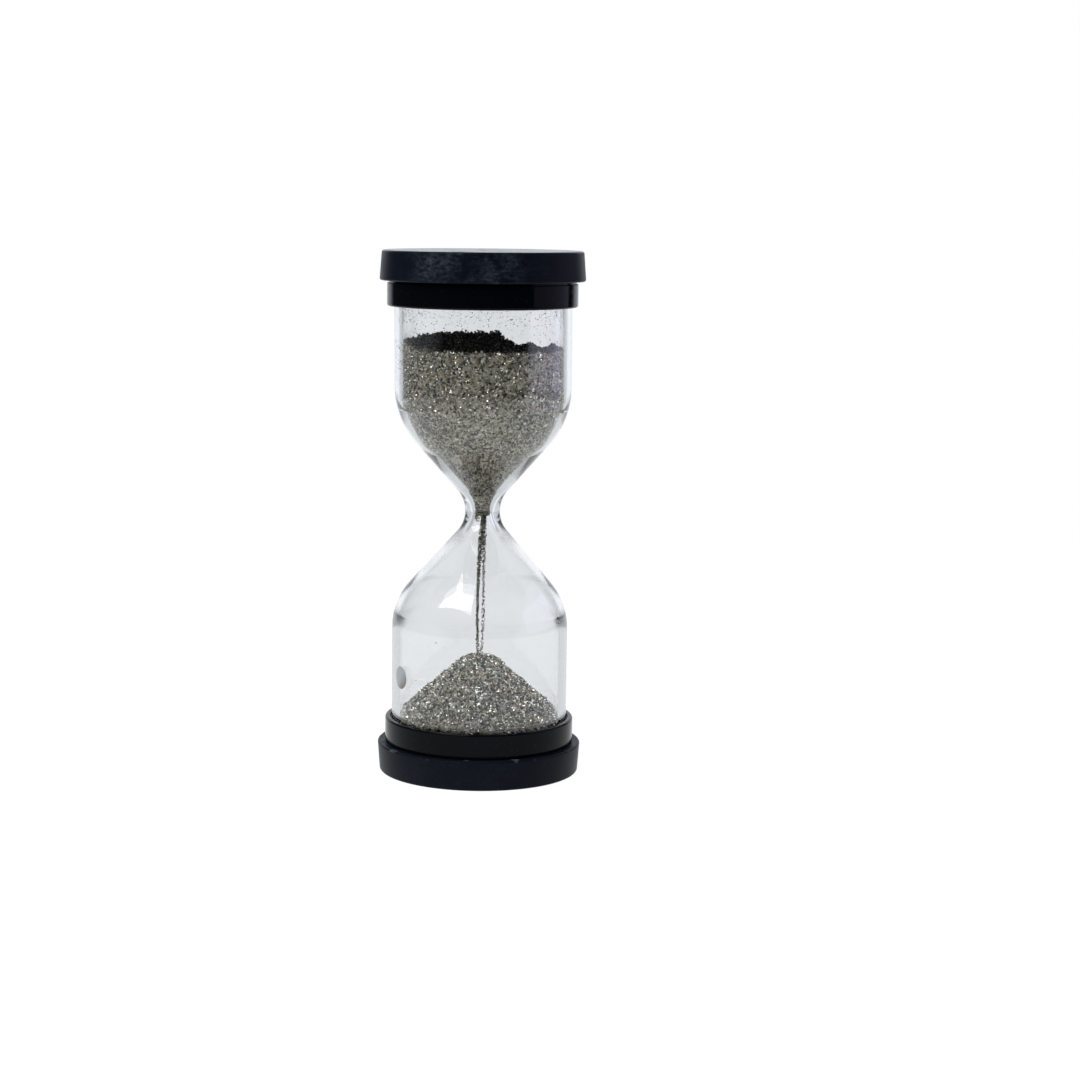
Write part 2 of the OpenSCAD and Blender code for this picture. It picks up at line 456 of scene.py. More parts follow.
def spin_line(name, line, steps=192, closed=False, flip_at=None, shape=None):
    """Turns a line of (radius, height) points once round the axis. A closed line makes a ring. shape gives
    each vertex its final place, and flip_at turns the piece over in the plane at half that height."""
    bm = bmesh.new()
    verts = [bm.verts.new((radius, 0, height)) for radius, height in line]
    pairs = list(zip(verts, verts[1:]))
    if closed:
        pairs.append((verts[-1], verts[0]))
    edges = [bm.edges.new(pair) for pair in pairs]
    bmesh.ops.spin(
        bm,
        geom=verts + edges,
        cent=(0, 0, 0),
        axis=(0, 0, 1),
        angle=2 * math.pi,
        steps=steps,
        use_merge=True,
        use_normal_flip=False,
        use_duplicate=False,
    )
    if shape:
        for vert in bm.verts:
            vert.co = shape(vert.co)
    if flip_at:
        bmesh.ops.scale(bm, vec=(1, 1, -1), verts=bm.verts)
        bmesh.ops.translate(bm, vec=(0, 0, flip_at), verts=bm.verts)
    bmesh.ops.remove_doubles(bm, verts=bm.verts, dist=1e-7)
    bmesh.ops.dissolve_degenerate(bm, edges=bm.edges, dist=1e-8)
    bmesh.ops.recalc_face_normals(bm, faces=bm.faces)
    return finish_mesh(name, bm)


def finish_mesh(name, bm, sharp_angle=32):
    mesh = bpy.data.meshes.new(name)
    bm.to_mesh(mesh)
    bm.free()
    mesh.shade_smooth()
    mesh.set_sharp_from_angle(angle=math.radians(sharp_angle))
    return link_piece(name, mesh)


def link_piece(name, mesh):
    piece = bpy.data.objects.new(name, mesh)
    bpy.context.scene.collection.objects.link(piece)
    return piece


def place_piece(piece, material, slot, *nodes):
    """Gives a piece its material and its body, and hides the CAD nodes that it stands for. slot is not used.
    """
    piece.data.materials.append(material)
    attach(piece, BODY)
    if nodes:
        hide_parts(*nodes)
    return piece


def place_sand(piece, *nodes):
    """Places a piece that is made of sand. All of them share one material."""
    shared = bpy.data.materials.get("glitter_sand")
    material = shared or sand_material(bpy.context.scene.hourglass_sand)
    return place_piece(piece, material, "sand", *nodes)


# the clear bulbs


def outer_line(bulb, end, extra=0.0):
    """The outside of a bulb from the waist plane to its end, in heights above the waist. extra is added to
    the rounding of its shoulder."""
    shoulder_round = bulb.shoulder_round + extra
    slant = bulb.cone_angle
    turn = math.degrees(slant)
    waist = bulb.bore + bulb.waist_wall
    neck = arc((waist + bulb.waist_round, 0), bulb.waist_round, 180, 180 - turn, 28)
    shoulder_x = BULB_RADIUS - shoulder_round * (1 - math.cos(slant))
    shoulder_z = neck[-1][1] + (shoulder_x - neck[-1][0]) / math.tan(slant)
    centre = (BULB_RADIUS - shoulder_round, shoulder_z + shoulder_round * math.sin(slant))
    shoulder = arc(centre, shoulder_round, -turn, 0, 36)
    return neck + shoulder + [(BULB_RADIUS, end)]


def inner_line(bulb, low, fit=0.0):
    """The inside of a bulb, drawn in by fit, from height low above the waist to the inner corner. Its last
    face is very short, so that the smooth shading of the shoulder ends at the corner."""
    slant = bulb.cone_angle + bulb.inner_flare
    turn = math.degrees(slant)
    neck_reach = bulb.bore_round + fit
    first = math.degrees(math.asin(low / neck_reach))
    neck = arc((bulb.bore + bulb.bore_round, 0), neck_reach, 180 - first, 180 - turn, 24)
    start_x = bulb.bore + bulb.bore_round * (1 - math.cos(slant))
    start_z = bulb.bore_round * math.sin(slant)
    middle_x = BULB_RADIUS - bulb.wall - bulb.inner_round * math.cos(bulb.inner_corner)
    cone_x = middle_x + bulb.inner_round * math.cos(slant)
    middle_z = start_z + (cone_x - start_x) / math.tan(slant) + bulb.inner_round * math.sin(slant)
    shoulder_reach = bulb.inner_round - fit
    edge = BULB_RADIUS - bulb.wall - fit
    last = -math.degrees(math.acos((edge - middle_x) / shoulder_reach))
    short_turn = 0.4
    shoulder = arc((middle_x, middle_z), shoulder_reach, -turn, last, 28)
    short_face = arc((middle_x, middle_z), shoulder_reach, last - short_turn, last, 1)
    return neck + shoulder[:-1] + short_face


def smooth_rise(value, low, high):
    """Rises smoothly from 0 at low to 1 at high."""
    share = np.clip((value - low) / (high - low), 0, 1)
    return share * share * (3 - 2 * share)


def bow(height):
    """How far the vial stands off the axis towards +X at a height. Its lower end is on the axis, and its
    upper end stands off by a quarter of what the waist does."""
    rise = smooth_rise(height, 34 * MM, 43 * MM)
    fall = smooth_rise(height, 58 * MM, 88 * MM)
    return bpy.context.scene.hourglass_bulb.bow * rise * (1 - 0.75 * fall)


def bowed(places):
    """The places moved sideways with the vial."""
    places = np.array(places)
    places[:, 0] += bow(places[:, 2])
    return places


def bend_vertex(co):
    return Vector((co.x + float(bow(co.z)), co.y, co.z))


def make_vial(name, lower_end, upper_end, bulb):
    """Both moulded halves, bonded at the waist into one clear wall. lower_end and upper_end are how far the
    ends are from the waist."""
    lower_out = [(radius, WAIST - rise) for radius, rise in outer_line(bulb, lower_end)]
    upper_out = [(radius, WAIST + rise) for radius, rise in outer_line(bulb, upper_end, bulb.upper_extra)]
    edge = BULB_RADIUS - bulb.wall
    inside = inner_line(bulb, 0)
    short_step = 0.15 * MM
    inside.append((edge, inside[-1][1] + short_step))
    upper_in = [(radius, WAIST + rise) for radius, rise in inside] + [(edge, WAIST + upper_end)]
    lower_in = [(radius, WAIST - rise) for radius, rise in inside] + [(edge, WAIST - lower_end)]
    line = lower_out[:0:-1] + upper_out + upper_in[:0:-1] + lower_in
    return spin_line(name, line, steps=288, closed=True, shape=bend_vertex)


# loose grains


def grain_template():
    """The points and faces of one plain eight-sided grain, one unit wide."""
    bm = bmesh.new()
    bmesh.ops.create_uvsphere(bm, u_segments=4, v_segments=2, radius=0.5)
    bmesh.ops.triangulate(bm, faces=bm.faces)
    bm.verts.index_update()
    points = np.array([vert.co[:] for vert in bm.verts])
    faces = np.array([[vert.index for vert in face.verts] for face in bm.faces])
    bm.free()
    return points, faces


def random_turns(rng, count):
    """Random rotation matrices, from evenly spread unit quaternions."""
    q = rng.normal(size=(count, 4))
    q /= np.linalg.norm(q, axis=1)[:, None]
    w, x, y, z = q.T
    rows = [
        [1 - 2 * (y * y + z * z), 2 * (x * y - z * w), 2 * (x * z + y * w)],
        [2 * (x * y + z * w), 1 - 2 * (x * x + z * z), 2 * (y * z - x * w)],
        [2 * (x * z - y * w), 2 * (y * z + x * w), 1 - 2 * (x * x + y * y)],
    ]
    return np.array(rows).transpose(2, 0, 1)


def held_inside(places, bulb):
    """The places, with any that stand in the clear wall moved in until they only just clear it."""
    x, y, z = places.T
    gap = 0.015 * MM
    tiny = 1e-9
    radii, heights = np.array(inner_line(bulb, 0) + [(BULB_RADIUS - bulb.wall, TOP)]).T
    most = np.interp(np.abs(z - WAIST), heights, radii) - gap
    middle = bow(z)
    out = np.hypot(x - middle, y)
    share = np.minimum(1, most / np.maximum(out, tiny))
    return np.stack([middle + (x - middle) * share, y * share, z], axis=1)


def scatter_grains(name, places, width, seed, lightest=1.0):
    """One mesh of separate grains at the places given, all inside the vial. Each is squashed, jittered and
    turned its own way and carries one random tone and one random shine, none above lightest."""
    rng = np.random.default_rng(seed)
    points, faces = grain_template()
    count = len(places)
    sizes = width * rng.uniform(0.65, 1.35, (count, 1, 1)) * rng.uniform(0.5, 1.15, (count, 1, 3))
    shapes = (points[None] + rng.uniform(-0.13, 0.13, (count, len(points), 3))) * sizes
    turned = np.einsum("nij,nkj->nki", random_turns(rng, count), shapes)
    verts = (np.asarray(places)[:, None] + turned).reshape(-1, 3)
    verts = held_inside(verts, bpy.context.scene.hourglass_bulb)
    offsets = np.arange(count)[:, None, None] * len(points)
    mesh = bpy.data.meshes.new(name)
    mesh.from_pydata(verts.tolist(), [], (faces[None] + offsets).reshape(-1, 3).tolist())
    for attribute in TONES:
        layer = mesh.attributes.new(attribute, "FLOAT", "POINT")
        layer.data.foreach_set("value", np.repeat(lightest * rng.random(count), len(points)))
    mesh.update()
    return link_piece(name, mesh)


def give_tone(piece, seed, shaded=lambda co: False):
    """Random tone and shine by place on a solid sand body, so that it matches the grains on it. Points that
    shaded picks are kept dark, as painted shade."""
    mesh = piece.data
    scale = 4000
    for attribute, shift in zip(TONES, (0.0, 9.0)):
        layer = mesh.attributes.new(attribute, "FLOAT", "POINT")
        values = []
        for vert in mesh.vertices:
            value = 0.5 + 0.5 * noise.noise(vert.co * scale + Vector((seed, shift, 0)))
            lightest = 0.25 if shaded(vert.co) else 0.6
            values.append(min(lightest, max(0.0, value)))
        layer.data.foreach_set("value", values)


def line_places(line, count, rng):
    """Random places on the surface that a line of (radius, height) points sweeps, even by area."""
    line = np.asarray(line)
    ends = line[1:] - line[:-1]
    area = np.hypot(ends[:, 0], ends[:, 1]) * (line[1:, 0] + line[:-1, 0])
    which = rng.choice(len(area), size=count, p=area / area.sum())
    along = rng.random(count)
    radius = line[which, 0] + along * ends[which, 0]
    height = line[which, 1] + along * ends[which, 1]
    azimuth = rng.uniform(0, 2 * math.pi, count)
    return np.stack([radius * np.sin(azimuth), -radius * np.cos(azimuth), height], axis=1)


# the upper sand's rim, as (degrees round from the front towards the right, rise in millimetres)
RIM = [
    (-180, 2.9), (-147, 2.9), (-130, 2.45), (-105, 2.0), (-73, 1.95), (-57, 1.4), (-42, 0.6), (0, 0.6),
    (33, 0.5), (90, 0.6), (105, 0.8), (113, 1.3), (118, 0.6), (124, -0.1), (132, 0.4), (140, 1.2),
    (148, 0.4), (155, 0.8), (162, 1.5), (168, 2.9), (180, 2.9),
]


def rim_rise(x, y):
    """How much the upper sand stands above its nominal rim, by direction."""
    azimuth = np.degrees(np.arctan2(x, -y))
    places, rises = zip(*RIM)
    return np.interp(azimuth, places, rises) * MM


def crater_height(x, y, sand, radius):
    """The height of the upper sand's top over the point x, y, with a fine ripple."""
    share = np.clip(np.hypot(x, y) / radius, 0, 1)
    ripple = 0.18 * MM * np.sin(x * 1900 + 2 * np.sin(y * 1300)) * np.cos(y * 1500)
    return UPPER_RIM - sand.crater * (1 - share) + rim_rise(x, y) * share ** 2 + ripple


def heap_height(radius, sand):
    """The height of the lower heap's surface at a radius, without its lumps."""
    tip = HEAP_TOP - sand.tip_round
    turn = sand.tip_round * math.sin(sand.heap_angle)
    cone = tip + sand.tip_round / math.cos(sand.heap_angle) - radius * math.tan(sand.heap_angle)
    dome = tip + np.sqrt(np.maximum(sand.tip_round ** 2 - radius ** 2, 0))
    return np.where(radius < turn, dome, cone)


def heap_lump(point):
    """How much the heap's surface is lifted near a point."""
    return 0.25 * MM * noise.noise(point * 420)


# operators


class HOURGLASS_OT_end_caps(bpy.types.Operator):
    """Make the two black end caps"""

    bl_idname = "hourglass.end_caps"
    bl_label = "End caps"

    def execute(self, context):
        style = context.scene.hourglass_caps
        end_radius = CAP_RADIUS - style.draft
        tilt = math.degrees(math.atan(style.draft / CAP_HEIGHT))
        bore = CAP_RADIUS - style.wall
        gate_radius = 0.9 * MM
        gate_depth = 0.12 * MM
        edge = style.edge
        lip = 0.7 * edge
        inner_lip = 0.2 * MM
        # the dimple of the moulding gate, the closed end, the side and the rim, and the cup inside
        line = [(0, gate_depth), (gate_radius * 0.8, gate_depth), (gate_radius, 0)]
        line += [(end_radius * share, 0) for share in (0.3, 0.6, 0.9)]
        line += arc((end_radius - edge, edge), edge, -90, -tilt, 12)
        line += arc((CAP_RADIUS - lip, CAP_HEIGHT - lip), lip, -tilt, 90, 10)
        line += arc((bore + inner_lip, CAP_HEIGHT - inner_lip), inner_lip, 90, 180, 4)
        line += [(bore, CAP_FLOOR), (0, CAP_FLOOR)]
        material = cap_material(style)
        for end, flip_at in ENDS:
            cap = spin_line(f"{end}_cap_moulding", line, steps=256, flip_at=flip_at)
            place_piece(cap, material, "cap_black", f"{end}_end_cap")
        return {"FINISHED"}


class HOURGLASS_OT_collars(bpy.types.Operator):
    """Make the two glossy collars"""

    bl_idname = "hourglass.collars"
    bl_label = "Collars"

    def execute(self, context):
        style = context.scene.hourglass_caps
        inner = BULB_RADIUS + style.glue
        foot = COLLAR_RADIUS - style.collar_step
        shown = CAP_HEIGHT + style.groove
        edge = style.collar_edge
        low_edge = 0.5 * edge
        inner_edge = 0.15 * MM
        line = [(inner, COLLAR_FOOT), (foot, COLLAR_FOOT), (foot, shown)]
        line += arc((COLLAR_RADIUS - low_edge, shown + low_edge), low_edge, -90, 0, 6)
        line += arc((COLLAR_RADIUS - edge, COLLAR_TOP - edge), edge, 0, 90, 10)
        line += arc((inner + inner_edge, COLLAR_TOP - inner_edge), inner_edge, 90, 180, 4)
        material = collar_material(style)
        for end, flip_at in ENDS:
            collar = spin_line(f"{end}_collar_ring", line, steps=256, closed=True, flip_at=flip_at)
            place_piece(collar, material, "collar_black", f"{end}_collar")
        return {"FINISHED"}


class HOURGLASS_OT_bulbs(bpy.types.Operator):
    """Make the clear vial, two bulbs bonded at the waist"""

    bl_idname = "hourglass.bulbs"
    bl_label = "Clear vial"

    def execute(self, context):
        bulb = context.scene.hourglass_bulb
        vial = make_vial("bonded_vial", WAIST - BULB_END, node_span("upper_bulb")[1] - WAIST, bulb)
        place_piece(vial, clear_material(bulb), "clear_wall", "lower_bulb", "upper_bulb")
        return {"FINISHED"}


class HOURGLASS_OT_closures(bpy.types.Operator):
    """Make the plugs, the foam pads and the glue bands inside the caps"""

    bl_idname = "hourglass.closures"
    bl_label = "Plugs, pads and glue"

    def execute(self, context):
        style = context.scene.hourglass_caps
        slack = 0.05 * MM
        bore = BULB_RADIUS - context.scene.hourglass_bulb.wall - slack
        flange = BULB_RADIUS
        lip = 0.2 * MM
        plug = [(0, PLUG_FOOT), (flange - lip, PLUG_FOOT), (flange, PLUG_FOOT + lip), (flange, BULB_END)]
        plug += [(bore, BULB_END), (bore, PLUG_TOP - lip), (bore - lip, PLUG_TOP), (0, PLUG_TOP)]
        pad_low, pad_high = node_span("lower_pad")
        pad_radius = node_radius("lower_pad")
        crown = (pad_high - pad_low) / 2
        pad = [(0, pad_low), (pad_radius - crown, pad_low)]
        pad += arc((pad_radius - crown, pad_low + crown), crown, -80, 80, 8)
        pad += [(pad_radius - crown, pad_high), (0, pad_high)]
        glue_low, glue_high = node_span("lower_glue_band")
        glue_radius = BULB_RADIUS + style.glue
        shrinkage = 0.08 * MM
        glue = [(BULB_RADIUS, glue_low), (glue_radius, glue_low), (glue_radius, glue_high)]
        glue += [(BULB_RADIUS + style.glue / 2, glue_high - shrinkage), (BULB_RADIUS, glue_high)]
        plug_shade, foam_shade, glue_shade = (0.03, 0.03, 0.035), (0.06, 0.06, 0.065), (0.1, 0.1, 0.1)
        parts = [
            ("plug_disc", plug, False, "matt_dark_moulding", plug_shade, 0.5, "inner_black", "plug"),
            ("foam_pad", pad, False, "closed_cell_foam", foam_shade, 0.9, "cushion", "pad"),
            ("glue_ring", glue, True, "cured_sealant", glue_shade, 0.45, "glue", "glue_band"),
        ]
        for name, line, closed, finish, shade, rough, slot, node in parts:
            material = plain_material(finish, shade, rough, 600, 0.08 * MM)
            for end, flip_at in ENDS:
                piece = spin_line(f"{end}_{name}", line, closed=closed, flip_at=flip_at)
                place_piece(piece, material, slot, f"{end}_{node}")
                node == "pad"
        return {"FINISHED"}


def place_disc_grains(bulb, sand):
    """The loose grains that hang below the disc round its hole, with one clump of longer reach."""
    rng = np.random.default_rng(15)
    count = 700
    azimuth = rng.uniform(0, 2 * math.pi, count)
    out = bulb.bore * np.sqrt(rng.random(count))
    drop = 0.9 * MM * rng.random(count) ** 1.5
    clump = (azimuth > 3.9) & (azimuth < 4.9) & (out > bulb.bore / 2)
    drop = np.where(clump, 2.0 * drop, drop)
    x, y = out * np.sin(azimuth), out * np.cos(azimuth)
    gap = 0.02 * MM
    clear = np.hypot(x - METERING_OFFSET, y) > METERING_RADIUS + gap
    keep = clear & ((drop < 0.6 * MM) | clump)
    places = np.stack([x, y, DISC_LOW - drop], axis=1)[keep]
    grains = scatter_grains("disc_grains", bowed(places), sand.grain * 0.62, 28, lightest=0.75)
    place_sand(grains)


class HOURGLASS_OT_orifice_disc(bpy.types.Operator):
    """Make the thin disc that meters the sand, with the grains that hang below it"""

    bl_idname = "hourglass.orifice_disc"
    bl_label = "Orifice disc"

    def execute(self, context):
        bulb = context.scene.hourglass_bulb
        slack = 0.02 * MM
        bm = bmesh.new()
        bmesh.ops.create_circle(bm, segments=64, radius=bulb.bore - slack)
        hole = bmesh.ops.create_circle(bm, segments=64, radius=METERING_RADIUS)["verts"]
        bmesh.ops.translate(bm, vec=(METERING_OFFSET, 0, 0), verts=hole)
        bmesh.ops.bridge_loops(bm, edges=bm.edges)
        bmesh.ops.translate(bm, vec=(float(bow(WAIST)), 0, DISC_LOW), verts=bm.verts)
        grown = bmesh.ops.extrude_face_region(bm, geom=bm.faces[:])["geom"]
        raised = [item for item in grown if isinstance(item, bmesh.types.BMVert)]
        bmesh.ops.translate(bm, vec=(0, 0, DISC_HIGH - DISC_LOW), verts=raised)
        bmesh.ops.recalc_face_normals(bm, faces=bm.faces)
        rims = [edge for edge in bm.edges if edge.calc_face_angle(0) > math.radians(60)]
        bmesh.ops.bevel(
            bm, geom=rims, offset=0.05 * MM, affect="EDGES", segments=2, profile=0.5, material=-1
        )
        piece = finish_mesh("metering_disc", bm)
        material = plain_material("dark_film", (0.06, 0.055, 0.05), 0.5, 1800, 0.06 * MM)
        place_piece(piece, material, "disc", "orifice_disc")
        place_disc_grains(bulb, context.scene.hourglass_sand)
        return {"FINISHED"}


class HOURGLASS_OT_upper_sand(bpy.types.Operator):
    """Make the sand that is left in the upper bulb, with its banked rim and crater"""

    bl_idname = "hourglass.upper_sand"
    bl_label = "Upper sand"

    def execute(self, context):
        bulb = context.scene.hourglass_bulb
        sand = context.scene.hourglass_sand
        half = sand.grain / 2
        fit = half * BODY_INSET
        touch = half * GRAIN_INSET
        low = DISC_HIGH - WAIST + 0.02 * MM
        radius = BULB_RADIUS - bulb.wall
        edge = radius - fit
        rim = UPPER_RIM - WAIST
        wall = inner_line(bulb, low, fit)
        corner = wall[-1][1]
        rises, rings = 20, 24
        wall += [(edge, corner + (rim - corner) * i / rises) for i in range(1, rises + 1)]
        top = [(edge * (1 - i / rings), rim) for i in range(1, rings + 1)]
        nearly = 0.01 * MM

        def settle(co):
            out = math.hypot(co.x, co.y)
            z = WAIST + co.z
            level = float(crater_height(co.x, co.y, sand, radius))
            if out < edge - nearly and co.z > rim - nearly:
                z = level - half
            elif co.z > corner:
                z += (level - half - UPPER_RIM) * (co.z - corner) / (rim - corner)
            return bend_vertex(Vector((co.x, co.y, z)))

        # the crater's top lies in the shade of the cap and collar, so the body there gets painted shade
        def in_crater_shade(co):
            return math.hypot(co.x, co.y) < edge - 0.4 * MM and co.z > WAIST + corner

        body = spin_line("upper_sand_body", [(0, low)] + wall + top, steps=160, shape=settle)
        give_tone(body, 3, in_crater_shade)
        place_sand(body, "upper_sand")

        rng = np.random.default_rng(11)
        cone = inner_line(bulb, low, touch)
        straight = [(radius - touch, cone[-1][1]), (radius - touch, rim)]
        places = line_places(straight, 9500, rng)
        share = (places[:, 2] - corner) / (rim - corner)
        surface = crater_height(places[:, 0], places[:, 1], sand, radius)
        places[:, 2] = WAIST + corner + share * (surface - WAIST - corner)
        place_sand(scatter_grains("upper_sand_wall_grains", bowed(places), sand.grain, 21))

        places = line_places(cone, 11000, rng)
        # the cone's grains are darker than those on the wall, and darker towards the neck: painted shade
        lightest = 0.56 + 0.26 * places[:, 2] / corner
        places[:, 2] += WAIST
        place_sand(scatter_grains("upper_sand_cone_grains", bowed(places), sand.grain, 22, lightest))

        count = 9000
        out = (radius - touch) * np.sqrt(rng.random(count))
        azimuth = rng.uniform(0, 2 * math.pi, count)
        x, y = out * np.sin(azimuth), -out * np.cos(azimuth)
        z = crater_height(x, y, sand, radius) + rng.normal(0, 0.07 * MM, count)
        places = bowed(np.stack([x, y, z], axis=1))
        # the top grains are kept darker than those on the wall: painted shade under the cap and collar
        place_sand(scatter_grains("upper_sand_top_grains", places, sand.grain, 23, lightest=0.5))
        return {"FINISHED"}


class HOURGLASS_OT_lower_sand(bpy.types.Operator):
    """Make the heap in the lower bulb"""

    bl_idname = "hourglass.lower_sand"
    bl_label = "Lower sand"

    def execute(self, context):
        bulb = context.scene.hourglass_bulb
        sand = context.scene.hourglass_sand
        half = sand.grain / 2
        radius = BULB_RADIUS - bulb.wall
        edge = radius - half * BODY_INSET
        grain_edge = radius - half * GRAIN_INSET
        foot = PLUG_TOP + 0.01 * MM
        rings = 40
        outs = [edge * (1 - i / rings) for i in range(rings + 1)]
        slope = [(out, float(heap_height(out, sand))) for out in outs]

        def settle(co):
            if co.z > PLUG_TOP + MM:
                co.z += heap_lump(co) - half
            return co

        body = spin_line("lower_sand_body", [(0, foot), (edge, foot)] + slope, steps=160, shape=settle)
        give_tone(body, 5)
        place_sand(body, "lower_sand")

        rng = np.random.default_rng(12)
        count = 14000
        out = grain_edge * np.sqrt(rng.random(count))
        azimuth = rng.uniform(0, 2 * math.pi, count)
        x, y = out * np.sin(azimuth), -out * np.cos(azimuth)
        lift = np.abs(rng.normal(0, 0.2 * MM, count)) - 0.05 * MM
        lumps = np.array([heap_lump(Vector((a, b, HEAP_TOP))) for a, b in zip(x, y)])
        places = np.stack([x, y, heap_height(out, sand) + lumps + lift], axis=1)
        place_sand(scatter_grains("lower_sand_grains", places, sand.grain * 1.15, 24))

        base = float(heap_height(radius, sand))
        places = line_places([(grain_edge, PLUG_TOP), (grain_edge, base)], 4000, rng)
        place_sand(scatter_grains("lower_sand_edge_grains", places, sand.grain, 25))
        return {"FINISHED"}


# the two strands of the stream: how many grains, how much they thin out downwards and, at each share of the
# fall, how far the strand's middle lies towards +X and its radius, in millimetres
FALL = [0, 0.06, 0.23, 0.43, 0.61, 0.78, 1.0]
STRANDS = [
    (2300, 1.5, [0.55, 0.43, -0.08, -0.32, -0.41, -0.45, -0.3], [0.4, 0.45, 0.45, 0.33, 0.27, 0.28, 0.3]),
    (1200, 2.2, [0.6, 0.71, 0.66, 0.61, 0.63, 0.71, 0.3], [0.35, 0.42, 0.42, 0.26, 0.24, 0.45, 0.3]),
]


class HOURGLASS_OT_sand_stream(bpy.types.Operator):
    """Make the falling stream"""

    bl_idname = "hourglass.sand_stream"
    bl_label = "Falling stream"

    def execute(self, context):
        sand = context.scene.hourglass_sand
        rng = np.random.default_rng(13)
        places = []
        for count, thinning, middles, spreads in STRANDS:
            drop = rng.random(count) ** thinning
            middle = np.interp(drop, FALL, middles) * MM
            out = np.interp(drop, FALL, spreads) * MM * rng.random(count) ** 0.6
            azimuth = rng.uniform(0, 2 * math.pi, count)
            z = DISC_LOW + (HEAP_TOP - DISC_LOW) * drop
            places.append(np.stack([middle + out * np.sin(azimuth), out * np.cos(azimuth), z], axis=1))
        falling = np.concatenate(places)
        piece = scatter_grains("falling_stream_grains", falling, sand.grain * 0.5, 26, lightest=0.58)
        place_sand(piece, "sand_stream")
        return {"FINISHED"}


# the specks moulded into the clear wall, as (degrees round from the front towards the right, height and
# radius in millimetres)
FLAWS = [(68.2, 67.7, 0.44), (-67, 67.9, 0.26), (65.7, 29.6, 0.27), (65.5, 28.7, 0.2)]


def place_flaws():
    """The small dark specks in the clear wall."""
    depth = 15.3 * MM
    bm = bmesh.new()
    for azimuth, height, size in FLAWS:
        turn = math.radians(azimuth)
        spot = bend_vertex(Vector((depth * math.sin(turn), -depth * math.cos(turn), height * MM)))
        bmesh.ops.create_icosphere(
            bm, subdivisions=2, radius=size * MM, matrix=Matrix.Translation(spot)
        )
    specks = finish_mesh("moulding_flaws", bm)
    finish = plain_material("dark_flaw", (0.05, 0.05, 0.055), 0.4, 900, 0.03 * MM)
    place_piece(specks, finish, "clear_wall")


class HOURGLASS_OT_clinging_grains(bpy.types.Operator):
    """Make the fine dust that clings to the inside of the clear walls, and the specks in them"""

    bl_idname = "hourglass.clinging_grains"
    bl_label = "Clinging dust and specks"

    def execute(self, context):
        sand = context.scene.hourglass_sand
        rng = np.random.default_rng(14)
        radius = BULB_RADIUS - context.scene.hourglass_bulb.wall - 0.04 * MM
        collar = TOP - COLLAR_TOP
        stretches = [
            (330, UPPER_RIM + MM, collar),
            (330, collar - 3 * MM, collar),
            (60, HEAP_TOP - 9 * MM, WAIST - 22 * MM),
        ]
        places = [line_places([(radius, a), (radius, b)], count, rng) for count, a, b in stretches]
        dust = bowed(np.concatenate(places))
        place_sand(scatter_grains("clinging_grains", dust, sand.grain * 0.44, 27, lightest=0.5))
        place_flaws()
        return {"FINISHED"}


class HOURGLASS_OT_sealant_drop(bpy.types.Operator):
    """Make the flat drop of cured sealant on the outside of the lower bulb"""

    bl_idname = "hourglass.sealant_drop"
    bl_label = "Sealant drop"

    def execute(self, context):
        radius = 2.1 * MM
        flatness = 0.05
        stand_off = 0.02 * MM
        bm = bmesh.new()
        bmesh.ops.create_uvsphere(bm, u_segments=48, v_segments=24, radius=radius)
        bmesh.ops.scale(bm, vec=(1, flatness, 1), verts=bm.verts)
        for vert in bm.verts:
            turn = SEALANT_TURN + vert.co.x / BULB_RADIUS
            reach = BULB_RADIUS + stand_off - vert.co.y
            z = SEALANT_HEIGHT + vert.co.z
            vert.co = bend_vertex(Vector((reach * math.sin(turn), -reach * math.cos(turn), z)))
        drop = finish_mesh("sealant_drop", bm)
        place_piece(drop, sealant_material(), "glue")
        return {"FINISHED"}


class HOURGLASS_OT_stage(bpy.types.Operator):
    """Make the floor, the light and the camera"""

    bl_idname = "hourglass.stage"
    bl_label = "Stage"

    def execute(self, context):
        make_floor()
        make_world(context.scene)
        make_lights()
        make_camera(context.scene)
        return {"FINISHED"}


def make_floor():
    """A pale glowing disc just under the object, dimmer where it is seen through two or three surfaces of
    the clear walls."""
    radius = 350 * MM
    sunk = 0.02 * MM
    bm = bmesh.new()
    bmesh.ops.create_circle(bm, cap_ends=True, segments=128, radius=radius)
    bmesh.ops.translate(bm, vec=(0, 0, -sunk), verts=bm.verts)
    floor = finish_mesh("floor", bm)
    paint = new_material("pale_floor")
    diffuse, passed = paint.light_path("Diffuse Depth", "Transmission Depth")
    edge = (passed > 1.5) * (passed < 3.5) * (diffuse < 0.5)
    paint.surface(
        Base_Color=paint.mix(paint.noise(40, 3), (0.09, 0.09, 0.09), (0.11, 0.11, 0.11)),
        Emission_Color=paint.mix(edge, WHITE, (0.6, 0.63, 0.65)),
        Emission_Strength=0.96,
        Roughness=0.9,
        Specular_IOR_Level=0.0,
    )
    floor.data.materials.append(paint.owner)


